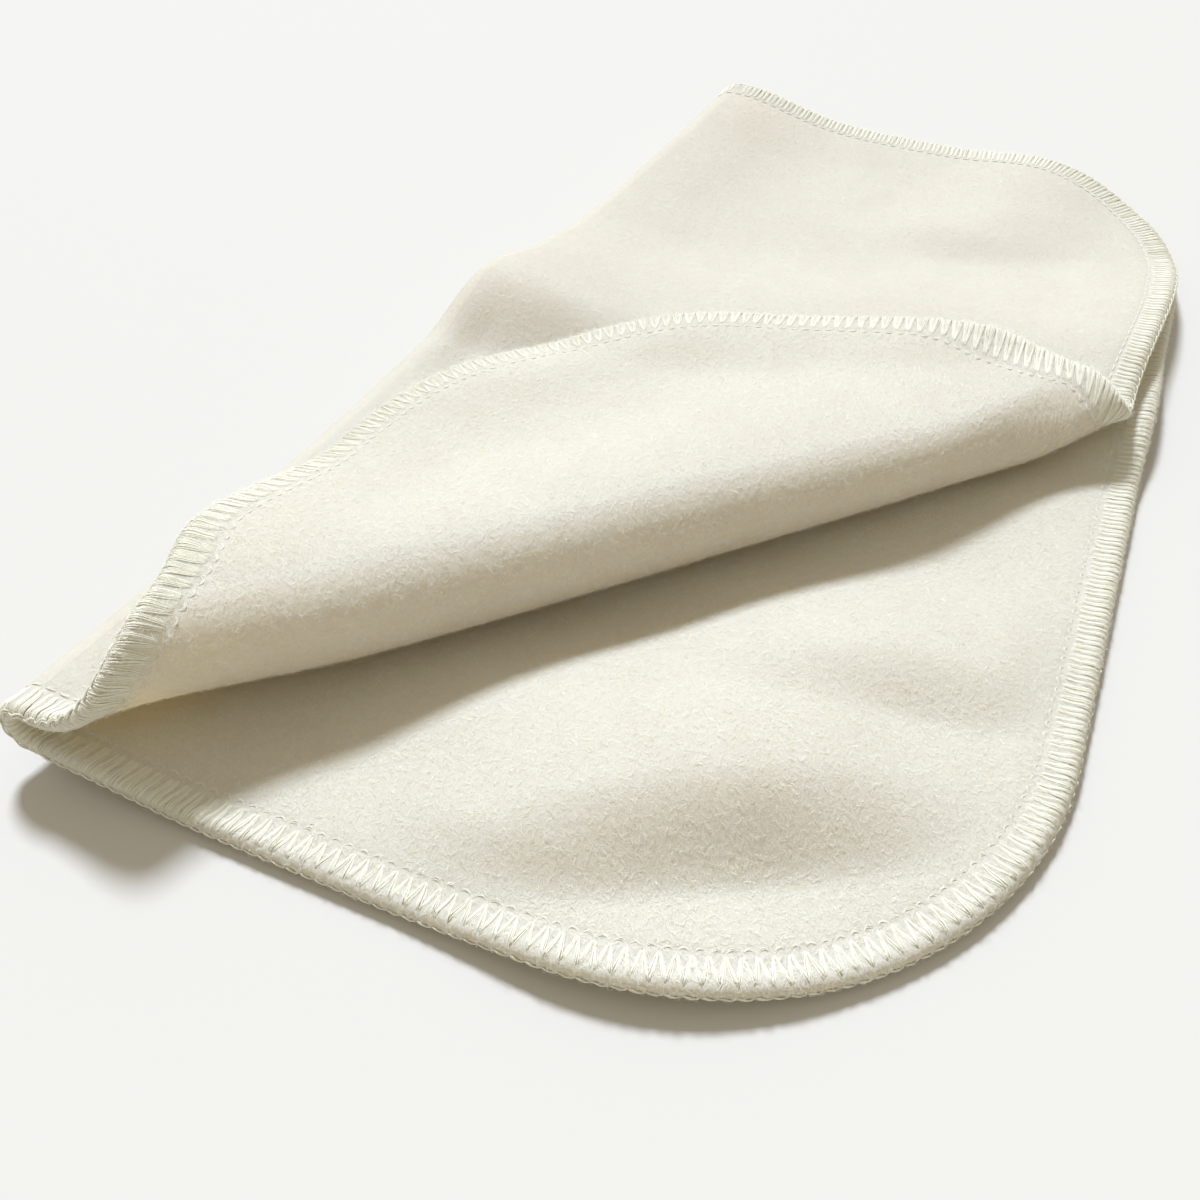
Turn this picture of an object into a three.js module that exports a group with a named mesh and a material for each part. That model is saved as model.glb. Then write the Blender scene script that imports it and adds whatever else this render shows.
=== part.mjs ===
// Flannel polishing cloth with an overlocked edge, folded in half, its top front corner turned back.
// Millimetres, +Z up. The origin is on the flat underside, below the middle of the folded cloth.
import * as THREE from 'three';

// Cloth
const foldedWidth = 150;         // crease side to the open side, folded
const clothLength = 247;         // along the open side
const clothThickness = 1.8;      // napped flannel, pile included
const frontCornerRadius = 62.5;
const backCornerRadius = 47.5;
const topSetback = 1.5;          // the top layer stops this far short of the bottom layer's open side
const layerClearance = 0.6;      // between the threads of two layers
const flapClearance = 0.75;      // between the flap's threads and the top layer

// Overlocked edge
const overlockInset = 0.4;       // from the cut edge to the looper threads
const overlockWidth = 4.8;
const threadThickness = 0.4;
const threadSeat = 0.35;         // threads above the flannel
const needleGap = 0.5;           // looper threads to the needle line
const needleWidth = 0.6;
const edgeClearance = 0.05;      // below the threads of the bottom edge
const edgeBlend = 20;            // the thick edge holds the flannel up over this width

// Crease at the left
const creaseStart = 2.6;         // outside of the crease at the front, across the cloth
const creaseSlope = 0.063;
const creaseKink = 2.8;          // sideways step behind the ridge
const creaseKinkShift = 11;      // from the ridge to the kink
const creaseKinkLength = 12;
const creaseBackSlope = 0.052;   // extra slope behind the kink
const creaseInside = 2.45;       // least inside radius
const creasePuff = 0.8;          // wider roll in front of the kink
const creasePuffFrom = 70;
const creasePuffTo = 120;
const creaseBackPuff = 1.0;      // wider roll at the back corner
const creaseBackReach = 65;
const creaseFall = 20;           // the top layer drops from the crease over this width

// Turned back corner
const turnAngle = 45.9;          // degrees, from the front edge
const turnAcross = 78.7;         // a place that the turn passes through
const turnAlong = 80.6;
const turnStartShift = 5.0;      // the turn bends outwards at its front end
const turnStartReach = 23;
const rollFrontInside = 6.2;    // inside radius at the front end of the roll
const rollBackInside = 2.0;
const rollSwell = 1.7;           // extra radius half way along the roll
const flapFall = 42;             // the flap comes down to its hem over this reach
const flapBulge = 11.3;          // the flap's back hem bows out by this much
const flapBulgeFrom = 12;
const flapBulgeTo = 214;
const flapBulgeReach = 18;
const flapPillow = 5;            // the flap stands up behind its hem
const flapDroop = 18;            // and droops to it over this width
const flapPillowFrom = 10;
const flapPillowTo = 50;

// Waves in the cloth: height, place and reach
const tipLift = { height: 3.2, reachX: 39, reachY: 113 };
const frontWave = { height: 2.2, x: 101, reachX: 36, reachY: 32 };
const sideWave = { height: 3.6, y: 153, reachX: 43, front: 23, back: 30 };
const ridge = { height: 5.0, y: 131, slope: 0.05, bend: 0.0018, front: 26, back: 40, fade: 0.25, fadeReach: 60 };
const mainSwell = { height: 7.0, x: 98, y: 33, turn: 31, reach: 52, front: 18.5, back: 42 };
const sideSwell = { height: 2.8, x: 118, y: 71, turn: 16, reach: 44, front: 14, back: 26 };
const swellRim = 16;             // the swells die out over this width of the edge
const backWave = { height: 2.2, x: 107, y: 217, lean: 0.35, reach: 26, from: 190, to: 205 };

// Facets
const seamGap = 0.3;             // between neighbouring stretches of cloth or thread
const threadStep = 8;
const slopeStep = 0.2;

const half = clothThickness / 2;
const threadStack = threadSeat + threadThickness;
const edgeRise = threadStack + edgeClearance;
const rim = overlockInset + overlockWidth + needleGap + needleWidth;
const layerSpacing = clothThickness + 2 * threadStack + layerClearance;
const flapGap = clothThickness + threadStack + flapClearance;
const bendStack = half + threadStack;
const creaseKinkAt = ridge.y + creaseKinkShift;
const topEdge = foldedWidth - topSetback;
const turn = THREE.MathUtils.degToRad(turnAngle);
const alongTurn = { x: Math.cos(turn), y: Math.sin(turn) };
const acrossTurn = { x: Math.sin(turn), y: -Math.cos(turn) };
const turnFront = -turnAlong / alongTurn.y;
const turnBack = (foldedWidth - turnAcross) / alongTurn.x;

const { clamp, lerp } = THREE.MathUtils;
const smooth = (from, to, value) => THREE.MathUtils.smoothstep(value, from, to);

// A round bump that is exactly flat outside its reach
function hump(distance, reach) {
  const q = 1 - (distance / reach) ** 2;
  return q > 0 ? q * q : 0;
}

function creaseOutside(y) {
  const reach = creaseKinkLength / 2;
  const kink = creaseKink * smooth(creaseKinkAt - reach, creaseKinkAt + reach, y);
  return creaseStart + creaseSlope * y + kink + creaseBackSlope * Math.max(0, y - creaseKinkAt);
}

function creaseRadius(y) {
  const end = 1 - smooth(creaseKinkAt - creaseKinkLength, creaseKinkAt + creaseKinkLength / 2, y);
  const puff = creasePuff * smooth(creasePuffFrom, creasePuffTo, y) * end;
  return bendStack + creaseInside + puff + creaseBackPuff * hump(clothLength - y, creaseBackReach);
}

const creaseMiddle = (y) => creaseOutside(y) + creaseRadius(y);

// Distance in from the cut edge of a layer whose open side is at x = side
function insetOf(x, y, side) {
  const frontX = x - (side - frontCornerRadius);
  const frontY = frontCornerRadius - y;
  if (frontX > 0 && frontY > 0) return frontCornerRadius - Math.hypot(frontX, frontY);
  const backX = x - (side - backCornerRadius);
  const backY = y - (clothLength - backCornerRadius);
  if (backX > 0 && backY > 0) return backCornerRadius - Math.hypot(backX, backY);
  return Math.min(side - x, y, clothLength - y);
}

// A long low wave, steeper in front of its crest than behind
function swellHeight(x, y, swell) {
  const angle = THREE.MathUtils.degToRad(swell.turn);
  const along = (x - swell.x) * Math.cos(angle) + (y - swell.y) * Math.sin(angle);
  const behind = (y - swell.y) * Math.cos(angle) - (x - swell.x) * Math.sin(angle);
  return swell.height * hump(along, swell.reach) * hump(behind, behind < 0 ? swell.front : swell.back);
}

function bottomHeight(x, y) {
  const inset = insetOf(x, y, foldedWidth);
  const rise = edgeRise * (1 - smooth(rim, rim + edgeBlend, inset));
  const tip = tipLift.height * hump(x, tipLift.reachX) * hump(y, tipLift.reachY);
  const front = frontWave.height * hump(x - frontWave.x, frontWave.reachX) * hump(y, frontWave.reachY);
  const swells = swellHeight(x, y, mainSwell) + swellHeight(x, y, sideSwell);
  const side = sideWave.height * hump(x - foldedWidth, sideWave.reachX)
    * hump(y - sideWave.y, y < sideWave.y ? sideWave.front : sideWave.back);
  return half + rise + tip + front + side + swells * smooth(0, swellRim, inset);
}

function topHeight(x, y) {
  const row = clamp(y, 0, clothLength);
  const past = Math.max(0, x - creaseMiddle(row));
  const loop = (2 * creaseRadius(row) - layerSpacing) * Math.exp(-((past / creaseFall) ** 2));
  const off = y - (ridge.y + ridge.slope * x + ridge.bend * x * x);
  const crest = ridge.height * hump(off, off < 0 ? ridge.front : ridge.back)
    * (1 - ridge.fade * smooth(foldedWidth - ridge.fadeReach, foldedWidth, x));
  const lean = x - backWave.x - backWave.lean * (y - backWave.y);
  const wave = backWave.height * hump(lean, backWave.reach) * smooth(backWave.from, backWave.to, y);
  return bottomHeight(x, y) + layerSpacing + loop + crest + wave;
}

function rollRadius(s) {
  const share = clamp((s - turnFront) / (turnBack - turnFront), 0, 1);
  return bendStack + lerp(rollFrontInside, rollBackInside, share) + rollSwell * Math.sin(Math.PI * share) ** 0.9;
}

const turnShift = (s) => turnStartShift * Math.exp(-(((s - turnFront) / turnStartReach) ** 2));

// Along and across the turn, from a place on the flat top layer, and back
function toTurn(x, y) {
  const s = (x - turnAcross) * alongTurn.x + (y - turnAlong) * alongTurn.y;
  const n = (x - turnAcross) * acrossTurn.x + (y - turnAlong) * acrossTurn.y - turnShift(s);
  return { s, n };
}

function fromTurn(s, n) {
  const out = n + turnShift(s);
  return {
    x: turnAcross + s * alongTurn.x + out * acrossTurn.x,
    y: turnAlong + s * alongTurn.y + out * acrossTurn.y,
  };
}

const placeBottom = (x, y) => new THREE.Vector3(x, y, bottomHeight(x, y));

// The crease: angle 0 leaves the bottom layer, a half turn reaches the top layer
function placeCrease(angle, y) {
  const middle = creaseMiddle(y);
  const foot = bottomHeight(middle, y);
  const rise = (topHeight(middle, y) - foot) / 2;
  return new THREE.Vector3(middle - creaseRadius(y) * Math.sin(angle), y, foot + rise * (1 - Math.cos(angle)));
}

// The top layer, its roll and its turned back flap, from a place on the layer before it was turned
function placeTop(x, y) {
  const { s, n } = toTurn(x, y);
  if (n <= 0) return new THREE.Vector3(x, y, topHeight(x, y));
  const radius = rollRadius(s);
  const angle = n / radius;
  if (angle <= Math.PI) {
    const foot = fromTurn(s, 0);
    const out = fromTurn(s, radius * Math.sin(angle));
    return new THREE.Vector3(out.x, out.y, topHeight(foot.x, foot.y) + radius * (1 - Math.cos(angle)));
  }
  const past = n - Math.PI * radius;
  const at = fromTurn(s, -past);
  const bow = Math.sin(Math.PI * clamp((y - flapBulgeFrom) / (flapBulgeTo - flapBulgeFrom), 0, 1)) ** 2;
  at.y += flapBulge * bow * smooth(0, flapBulgeReach, past);
  const gap = flapGap + (2 * radius - flapGap) * (1 - smooth(0, flapFall, past));
  const droop = 1 - clamp(insetOf(x, y, topEdge) / flapDroop, 0, 1);
  const pillow = flapPillow * (1 - droop * droop) * smooth(flapPillowFrom, flapPillowTo, past);
  return new THREE.Vector3(at.x, at.y, topHeight(at.x, at.y) + gap + pillow);
}

// Unit normal of a placed sheet at a place on it
function normalOf(place, u, v) {
  const du = place(u + slopeStep, v).sub(place(u - slopeStep, v));
  const dv = place(u, v + slopeStep).sub(place(u, v - slopeStep));
  return du.cross(dv).normalize();
}

// The cut edge of one layer, from the crease at the front round to the crease at the back,
// as a distance along the edge and an inset from it
function edgeOf(side) {
  const front = side - frontCornerRadius;
  const back = side - backCornerRadius;
  const frontLength = front - creaseMiddle(0);
  const sideLength = clothLength - frontCornerRadius - backCornerRadius;
  const backLength = back - creaseMiddle(clothLength);
  const round = (x, y, radius, angle) => ({ u: x + radius * Math.cos(angle), v: y + radius * Math.sin(angle) });
  const pieces = [
    [frontLength, (d, inset) => ({ u: lerp(creaseMiddle(inset), front, d / frontLength), v: inset })],
    [frontCornerRadius * Math.PI / 2, (d, inset) => (
      round(front, frontCornerRadius, frontCornerRadius - inset, d / frontCornerRadius - Math.PI / 2))],
    [sideLength, (d, inset) => ({ u: side - inset, v: frontCornerRadius + d })],
    [backCornerRadius * Math.PI / 2, (d, inset) => (
      round(back, clothLength - backCornerRadius, backCornerRadius - inset, d / backCornerRadius))],
    [backLength, (d, inset) => (
      { u: lerp(back, creaseMiddle(clothLength - inset), d / backLength), v: clothLength - inset })],
  ];
  const length = pieces.reduce((sum, [piece]) => sum + piece, 0);
  function at(distance, inset) {
    let left = distance;
    let k = 0;
    while (k < pieces.length - 1 && left > pieces[k][0]) {
      left -= pieces[k][0];
      k += 1;
    }
    return pieces[k][1](left, inset);
  }
  return { length, at };
}

// One closed body from corners and triangles, with its faces pointing out
function closedMesh(name, corners, triangles, material) {
  let volume = 0;
  for (const [a, b, c] of triangles) {
    volume += corners[a].dot(new THREE.Vector3().crossVectors(corners[b], corners[c]));
  }
  const index = triangles.flatMap(([a, b, c]) => (volume > 0 ? [a, b, c] : [a, c, b]));
  const geometry = new THREE.BufferGeometry();
  geometry.setAttribute('position', new THREE.Float32BufferAttribute(corners.flatMap((p) => [p.x, p.y, p.z]), 3));
  geometry.setIndex(index);
  geometry.computeVertexNormals();
  const mesh = new THREE.Mesh(geometry, material);
  mesh.name = name;
  return mesh;
}

// A sheet of even thickness over a grid of sheet coordinates
function sheetMesh(name, place, grid, material) {
  const rows = grid.length;
  const cols = grid[0].length;
  const corners = [half, -half].flatMap((height) => grid.flat().map(({ u, v }) => (
    place(u, v).addScaledVector(normalOf(place, u, v), height))));
  const top = (i, j) => i * cols + j;
  const under = (i, j) => rows * cols + i * cols + j;
  const triangles = [];
  const quad = (a, b, c, d) => triangles.push([a, b, c], [a, c, d]);
  for (let i = 0; i < rows - 1; i += 1) {
    for (let j = 0; j < cols - 1; j += 1) {
      quad(top(i, j), top(i, j + 1), top(i + 1, j + 1), top(i + 1, j));
      quad(under(i, j), under(i + 1, j), under(i + 1, j + 1), under(i, j + 1));
    }
    quad(top(i, 0), top(i + 1, 0), under(i + 1, 0), under(i, 0));
    quad(top(i, cols - 1), under(i, cols - 1), under(i + 1, cols - 1), top(i + 1, cols - 1));
  }
  for (let j = 0; j < cols - 1; j += 1) {
    quad(top(0, j), under(0, j), under(0, j + 1), top(0, j + 1));
    quad(top(rows - 1, j), top(rows - 1, j + 1), under(rows - 1, j + 1), under(rows - 1, j));
  }
  return closedMesh(name, corners, triangles, material);
}

// A flat thread lying along a hem, closed at both ends: each station has its low corners
// from the edge inwards and then its high corners back out
function threadMesh(name, stations, material) {
  const corners = stations.flat();
  const round = stations[0].length;
  const triangles = [];
  for (let k = 0; k < stations.length - 1; k += 1) {
    for (let side = 0; side < round; side += 1) {
      const a = k * round + side;
      const b = k * round + (side + 1) % round;
      triangles.push([a, b, b + round], [a, b + round, a + round]);
    }
  }
  const last = (stations.length - 1) * round;
  for (let k = 0; k < round / 2 - 1; k += 1) {
    const [a, b, c, d] = [k, k + 1, round - 2 - k, round - 1 - k];
    triangles.push([a, c, b], [a, d, c], [last + a, last + b, last + c], [last + a, last + c, last + d]);
  }
  return closedMesh(name, corners, triangles, material);
}

const flannel = () => new THREE.MeshStandardMaterial({ color: 0xf1ece0, roughness: 0.95, metalness: 0 });
const needleYarn = () => new THREE.MeshStandardMaterial({ color: 0xf7f3e8, roughness: 0.6, metalness: 0 });
const looperYarn = () => new THREE.MeshStandardMaterial({ color: 0xf9f6ee, roughness: 0.5, metalness: 0 });

const cloth = new THREE.Group();
cloth.position.set(-foldedWidth / 2, -clothLength / 2, 0);

// Needle thread and both looper threads along one stretch of hem. The needle thread and the upper looper
// lie on the inner face, which is on the side of the normal that inside gives, and the lower looper outside.
function addHem(stretch, place, stations, at, inside, across) {
  const strip = (from, to, side, count) => stations.map((station) => {
    const raised = (inset, height) => {
      const { u, v } = at(station, inset);
      return place(u, v).addScaledVector(normalOf(place, u, v), side * height);
    };
    const insets = evenly(from, to, count);
    return [
      ...insets.map((inset) => raised(inset, half + threadSeat)),
      ...insets.reverse().map((inset) => raised(inset, half + threadStack)),
    ];
  });
  const outer = overlockInset + overlockWidth;
  const needle = outer + needleGap;
  cloth.add(
    threadMesh(`needle_thread_${stretch}`, strip(needle, needle + needleWidth, inside, 1), needleYarn()),
    threadMesh(`upper_looper_${stretch}`, strip(overlockInset, outer, inside, across), looperYarn()),
    threadMesh(`lower_looper_${stretch}`, strip(overlockInset, outer, -inside, across), looperYarn()),
  );
}

// Even steps, and steps that crowd together by the given shares at either end
const evenly = (from, to, count) => Array.from({ length: count + 1 }, (_, k) => lerp(from, to, k / count));
const crowded = (from, to, count, start, end) => evenly(0, 1, count).map((t) => (
  lerp(from, to, ((start + end - 2) * t + 3 - 2 * start - end) * t * t + start * t)));
function stationsBetween(from, to, step, crowd = 1) {
  return crowded(from, to, Math.max(2, Math.ceil((to - from) / step)), crowd, crowd);
}

// Where a yes or no question changes its answer
function changeOf(test, from, to) {
  const start = test(from);
  let low = from;
  let high = to;
  for (let k = 0; k < 60; k += 1) {
    const middle = (low + high) / 2;
    if (test(middle) === start) low = middle;
    else high = middle;
  }
  return low;
}

// Open side of a layer at a row
function sideAt(y, side) {
  const front = Math.max(0, frontCornerRadius - y);
  const back = Math.max(0, y - (clothLength - backCornerRadius));
  const frontCut = frontCornerRadius - Math.sqrt(frontCornerRadius ** 2 - front ** 2);
  const backCut = backCornerRadius - Math.sqrt(backCornerRadius ** 2 - back ** 2);
  return side - frontCut - backCut;
}

// Rows that all layers share, with one at the corner where the turn meets the open side
const turnAt = (y) => changeOf((x) => toTurn(x, y).n < -seamGap, 0, 2 * foldedWidth);
const turnRow = changeOf((y) => turnAt(y) < sideAt(y, topEdge), 0, clothLength - backCornerRadius);
const rows = [
  ...crowded(0, turnRow, 28, 0.3, 1),
  ...crowded(turnRow, clothLength, 20, 1, 0.35).slice(1),
];

// Bottom layer
const bottomGrid = rows.map((y) => (
  crowded(creaseMiddle(y) + seamGap, sideAt(y, foldedWidth), 18, 0.8, 0.7).map((x) => ({ u: x, v: y }))
));
cloth.add(sheetMesh('bottom_panel', placeBottom, bottomGrid, flannel()));
const bottomEdge = edgeOf(foldedWidth);
const bottomStations = stationsBetween(seamGap, bottomEdge.length - seamGap, threadStep * 0.75);
addHem('bottom', placeBottom, bottomStations, bottomEdge.at, 1, 1);

// Crease
const creaseAngles = evenly(0, Math.PI, 6);
const creaseGrid = rows.map((y) => creaseAngles.map((angle) => ({ u: angle, v: y })));
cloth.add(sheetMesh('crease_fold', placeCrease, creaseGrid, flannel()));
const creaseFront = (angle, inset) => ({ u: angle, v: inset });
const creaseBack = (angle, inset) => ({ u: angle, v: clothLength - inset });
addHem('crease_front', placeCrease, creaseAngles, creaseFront, -1, 1);
addHem('crease_back', placeCrease, creaseAngles, creaseBack, -1, 1);

// Top layer behind the turn
const topGrid = rows.map((y) => {
  const end = Math.min(sideAt(y, topEdge), turnAt(y));
  return crowded(creaseMiddle(y) + seamGap, end, 12, 0.5, 0.6).map((x) => ({ u: x, v: y }));
});
cloth.add(sheetMesh('top_panel', placeTop, topGrid, flannel()));

// Ends of the layer along the turn, at a distance past the start of the roll
function turnEnds(distanceAt) {
  const inside = (s) => {
    const { x, y } = fromTurn(s, distanceAt(s));
    return insetOf(x, y, topEdge) > 0;
  };
  const middle = toTurn(topEdge - frontCornerRadius, frontCornerRadius).s;
  return [changeOf(inside, middle, 2 * turnFront), changeOf(inside, middle, 2 * turnBack)];
}

function turnRowGrid(distanceAt, count) {
  const [from, to] = turnEnds(distanceAt);
  return crowded(from, to, count, 0.5, 0.5).map((s) => {
    const { x, y } = fromTurn(s, distanceAt(s));
    return { u: x, v: y };
  });
}

// Roll
const rollGrid = evenly(0, 1, 10).map((share) => turnRowGrid((s) => share * Math.PI * rollRadius(s), 26));
cloth.add(sheetMesh('flap_roll', placeTop, rollGrid, flannel()));

// Flap, out to where its round corner is one thread step wide
const beyondRoll = (past) => (s) => Math.PI * rollRadius(s) + past;
const flapTip = frontCornerRadius - Math.sqrt(frontCornerRadius ** 2 - (threadStep / 2) ** 2);
const flapReach = changeOf((past) => {
  const { s } = toTurn(topEdge - frontCornerRadius, frontCornerRadius);
  const { x, y } = fromTurn(s, beyondRoll(past)(s));
  return insetOf(x, y, topEdge) > flapTip;
}, 0, foldedWidth);
const flapRows = crowded(seamGap, flapReach, 15, 1, 0.2);
const flapGrid = flapRows.map((past) => turnRowGrid(beyondRoll(past), 20));
cloth.add(sheetMesh('flap_panel', placeTop, flapGrid, flannel()));

// Hem of the top layer, from the crease over the roll, round the flap and back over the roll to the crease
const topHem = edgeOf(topEdge);
const turned = (distance) => {
  const { u, v } = topHem.at(distance, 0);
  const { s, n } = toTurn(u, v);
  return { onRoll: n > 0, onFlap: n > Math.PI * rollRadius(s) };
};
const cornerMiddle = topEdge - frontCornerRadius - creaseMiddle(0) + frontCornerRadius * Math.PI / 4;
const rollFrontStart = changeOf((d) => turned(d).onRoll, 0, cornerMiddle);
const rollFrontEnd = changeOf((d) => turned(d).onFlap, 0, cornerMiddle);
const rollBackStart = changeOf((d) => turned(d).onFlap, cornerMiddle, topHem.length);
const rollBackEnd = changeOf((d) => turned(d).onRoll, cornerMiddle, topHem.length);
function addTopHem(stretch, from, to, step, across, crowd) {
  const stations = stationsBetween(from + seamGap / 2, to - seamGap / 2, step, crowd);
  addHem(stretch, placeTop, stations, topHem.at, -1, across);
}
addTopHem('top_front', seamGap / 2, rollFrontStart, threadStep / 4, 4);
addTopHem('roll_front', rollFrontStart, rollFrontEnd, threadStep / 4, 4);
addTopHem('flap', rollFrontEnd, rollBackStart, threadStep * 0.75, 3, 0.3);
addTopHem('roll_back', rollBackStart, rollBackEnd, threadStep / 4, 4);
addTopHem('top_back', rollBackEnd, topHem.length - seamGap / 2, threadStep * 0.75, 1);

export default cloth;
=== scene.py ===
import math

import bpy
import numpy as np
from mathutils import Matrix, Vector
from mathutils.geometry import delaunay_2d_cdt


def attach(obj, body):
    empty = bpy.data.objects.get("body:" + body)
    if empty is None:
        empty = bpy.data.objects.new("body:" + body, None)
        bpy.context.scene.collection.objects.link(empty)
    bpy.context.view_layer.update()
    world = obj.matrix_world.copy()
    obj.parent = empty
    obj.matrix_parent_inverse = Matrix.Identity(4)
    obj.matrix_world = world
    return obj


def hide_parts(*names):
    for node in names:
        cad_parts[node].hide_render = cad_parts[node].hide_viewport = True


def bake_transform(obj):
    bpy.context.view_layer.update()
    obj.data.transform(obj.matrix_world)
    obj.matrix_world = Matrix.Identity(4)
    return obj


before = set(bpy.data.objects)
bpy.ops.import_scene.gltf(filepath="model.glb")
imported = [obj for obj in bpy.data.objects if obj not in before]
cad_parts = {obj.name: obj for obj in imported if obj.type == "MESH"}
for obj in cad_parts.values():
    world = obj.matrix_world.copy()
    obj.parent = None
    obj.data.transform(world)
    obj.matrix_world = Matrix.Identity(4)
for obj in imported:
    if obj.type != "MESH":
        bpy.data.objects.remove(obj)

scene = bpy.context.scene
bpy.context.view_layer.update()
rng = np.random.default_rng(11)

# camera, at the photo's view
cameraSettings = {
    "place": (0.05296, -0.18948, 0.15036),
    "tilt": 44.043,   # degrees up from straight down
    "turn": 23.869,
    "lens": 36.372, "sensor": 36,
    "clip": (0.005, 20),
}


def addCamera(s=cameraSettings):
    data = bpy.data.cameras.new("camera")
    data.lens, data.sensor_width = s["lens"], s["sensor"]
    data.clip_start, data.clip_end = s["clip"]
    camera = bpy.data.objects.new("camera", data)
    camera.location = s["place"]
    camera.rotation_euler = (math.radians(s["tilt"]), 0, math.radians(s["turn"]))
    scene.collection.objects.link(camera)
    scene.camera = camera


addCamera()
print("camera placed")


# a socket that takes Python's operators, and the one method that makes every other node
class Wire:
    def __init__(self, tree, socket=None):
        self.tree, self.socket = tree, socket

    def node(self, kind, settings=None, sockets=None, out=0):
        made = self.tree.nodes.new(kind)
        for name, value in (settings or {}).items():
            setattr(made, name, value)
        for name, value in (sockets or {}).items():
            if isinstance(value, Wire):
                self.tree.links.new(value.socket, made.inputs[name])
            else:
                made.inputs[name].default_value = value
        return None if out is None else Wire(self.tree, made.outputs[out])

    def maths(self, operation, a, b):
        return self.node("ShaderNodeMath", {"operation": operation}, {0: a, 1: b})

    def __add__(self, other): return self.maths("ADD", self, other)
    def __radd__(self, other): return self.maths("ADD", other, self)
    def __sub__(self, other): return self.maths("SUBTRACT", self, other)
    def __rsub__(self, other): return self.maths("SUBTRACT", other, self)
    def __mul__(self, other): return self.maths("MULTIPLY", self, other)
    def __rmul__(self, other): return self.maths("MULTIPLY", other, self)

    def noise(self, where, scale, detail=2.0, rough=0.5, warp=0.0):
        return self.node("ShaderNodeTexNoise", None, {
            "Vector": where, "Scale": scale, "Detail": detail, "Roughness": rough, "Distortion": warp})

    def mix(self, share, a, b):
        return self.node("ShaderNodeMix", {"data_type": "RGBA"}, {0: share, 6: a, 7: b}, 2)


def newMaterial(name):
    material = bpy.data.materials.new(name)
    material.use_nodes = True
    material.node_tree.nodes.clear()
    return material, Wire(material.node_tree)


def showShader(wire, shader):
    wire.node("ShaderNodeOutputMaterial", None, {"Surface": shader}, None)


# napped flannel: cream, brushed up into curly fibre ends that catch the light
flannelLook = {
    "pale": (0.882, 0.905, 0.825, 1),
    "warm": (0.79, 0.793, 0.69, 1),
    "tip": (0.97, 0.985, 0.925, 1),
    "through": (1.0, 0.78, 0.32, 1),   # light that comes through the cloth
    "throughShare": 0.35,
    "rough": 0.66, "specular": 1.0, "sheen": 0.3, "sheenRough": 0.5,
    "sheenTint": (1.0, 0.98, 0.93, 1),
    "curls": (0.30, 0.48), "tuft": 0.9,   # millimetres
    "curlWarp": 1.2, "curlThin": 14, "curlPale": 0.5,
    "cloud": 90, "blotch": 28,            # noise scales of the slow changes of tone
    "tone": {"start": 0.45, "cloud": 1.2, "tuft": 1.6},
    "relief": {"curls": 0.45, "cloud": 0.9},
    "gloss": {"curls": 0.06, "tuft": 0.25},
    "bump": 0.5, "bumpDepth": 0.0003,
}


# thin curly lines, where a warped noise passes its middle
def curlLines(wire, where, size, s=flannelLook):
    noise = wire.noise(where, 1000 / size, warp=s["curlWarp"])
    return wire.maths("MAXIMUM", 1 - wire.maths("ABSOLUTE", noise - 0.5, 0) * s["curlThin"], 0)


def flannelMaterial(s=flannelLook):
    material, wire = newMaterial("flannel")
    where = wire.node("ShaderNodeTexCoord", None, None, "Object")
    fine, coarse = (curlLines(wire, where, size) for size in s["curls"])
    curls = wire.maths("MAXIMUM", fine, coarse)
    tuft = wire.noise(where, 1000 / s["tuft"], 3.0, 0.6, 0.4)
    cloud = wire.noise(where, s["cloud"], 3.0, 0.55)
    blotch = wire.noise(where, s["blotch"])
    tone = (cloud - 0.5) * s["tone"]["cloud"] + (blotch - 0.5) + (tuft - 0.5) * s["tone"]["tuft"] + s["tone"]["start"]
    colour = wire.mix(curls * s["curlPale"], wire.mix(tone, s["pale"], s["warm"]), s["tip"])
    height = curls * s["relief"]["curls"] + tuft + cloud * s["relief"]["cloud"]
    relief = wire.node("ShaderNodeBump", None, {
        "Strength": s["bump"], "Distance": s["bumpDepth"], "Height": height})
    rough = s["rough"] + (tuft - 0.5) * s["gloss"]["tuft"] - curls * s["gloss"]["curls"]
    surface = wire.node("ShaderNodeBsdfPrincipled", None, {
        "Base Color": colour, "Roughness": rough, "Normal": relief,
        "Specular IOR Level": s["specular"], "Sheen Weight": s["sheen"], "Sheen Roughness": s["sheenRough"],
        "Sheen Tint": s["sheenTint"]})
    through = wire.node("ShaderNodeBsdfTranslucent", None, {"Color": s["through"], "Normal": relief})
    showShader(wire, wire.node("ShaderNodeMixShader", None, {0: s["throughShare"], 1: surface, 2: through}))
    return material


# overlock yarn: white, a little glossy, loose filaments
yarnLook = {
    "needle": {"pale": (0.90, 0.875, 0.79, 1), "warm": (0.82, 0.785, 0.68, 1), "rough": 0.5},
    "looper": {"pale": (0.925, 0.91, 0.79, 1), "warm": (0.85, 0.828, 0.69, 1), "rough": 0.5},
    "speck": 0.5,     # millimetres
    "shade": 380, "shadeTone": 0.8, "shadeGloss": 0.2, "toneStart": 0.35,
    "bump": 0.3, "bumpDepth": 0.0001,
    "specular": 0.6, "sheen": 0.2, "sheenRough": 0.4, "throughShare": 0.2,
}


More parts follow.
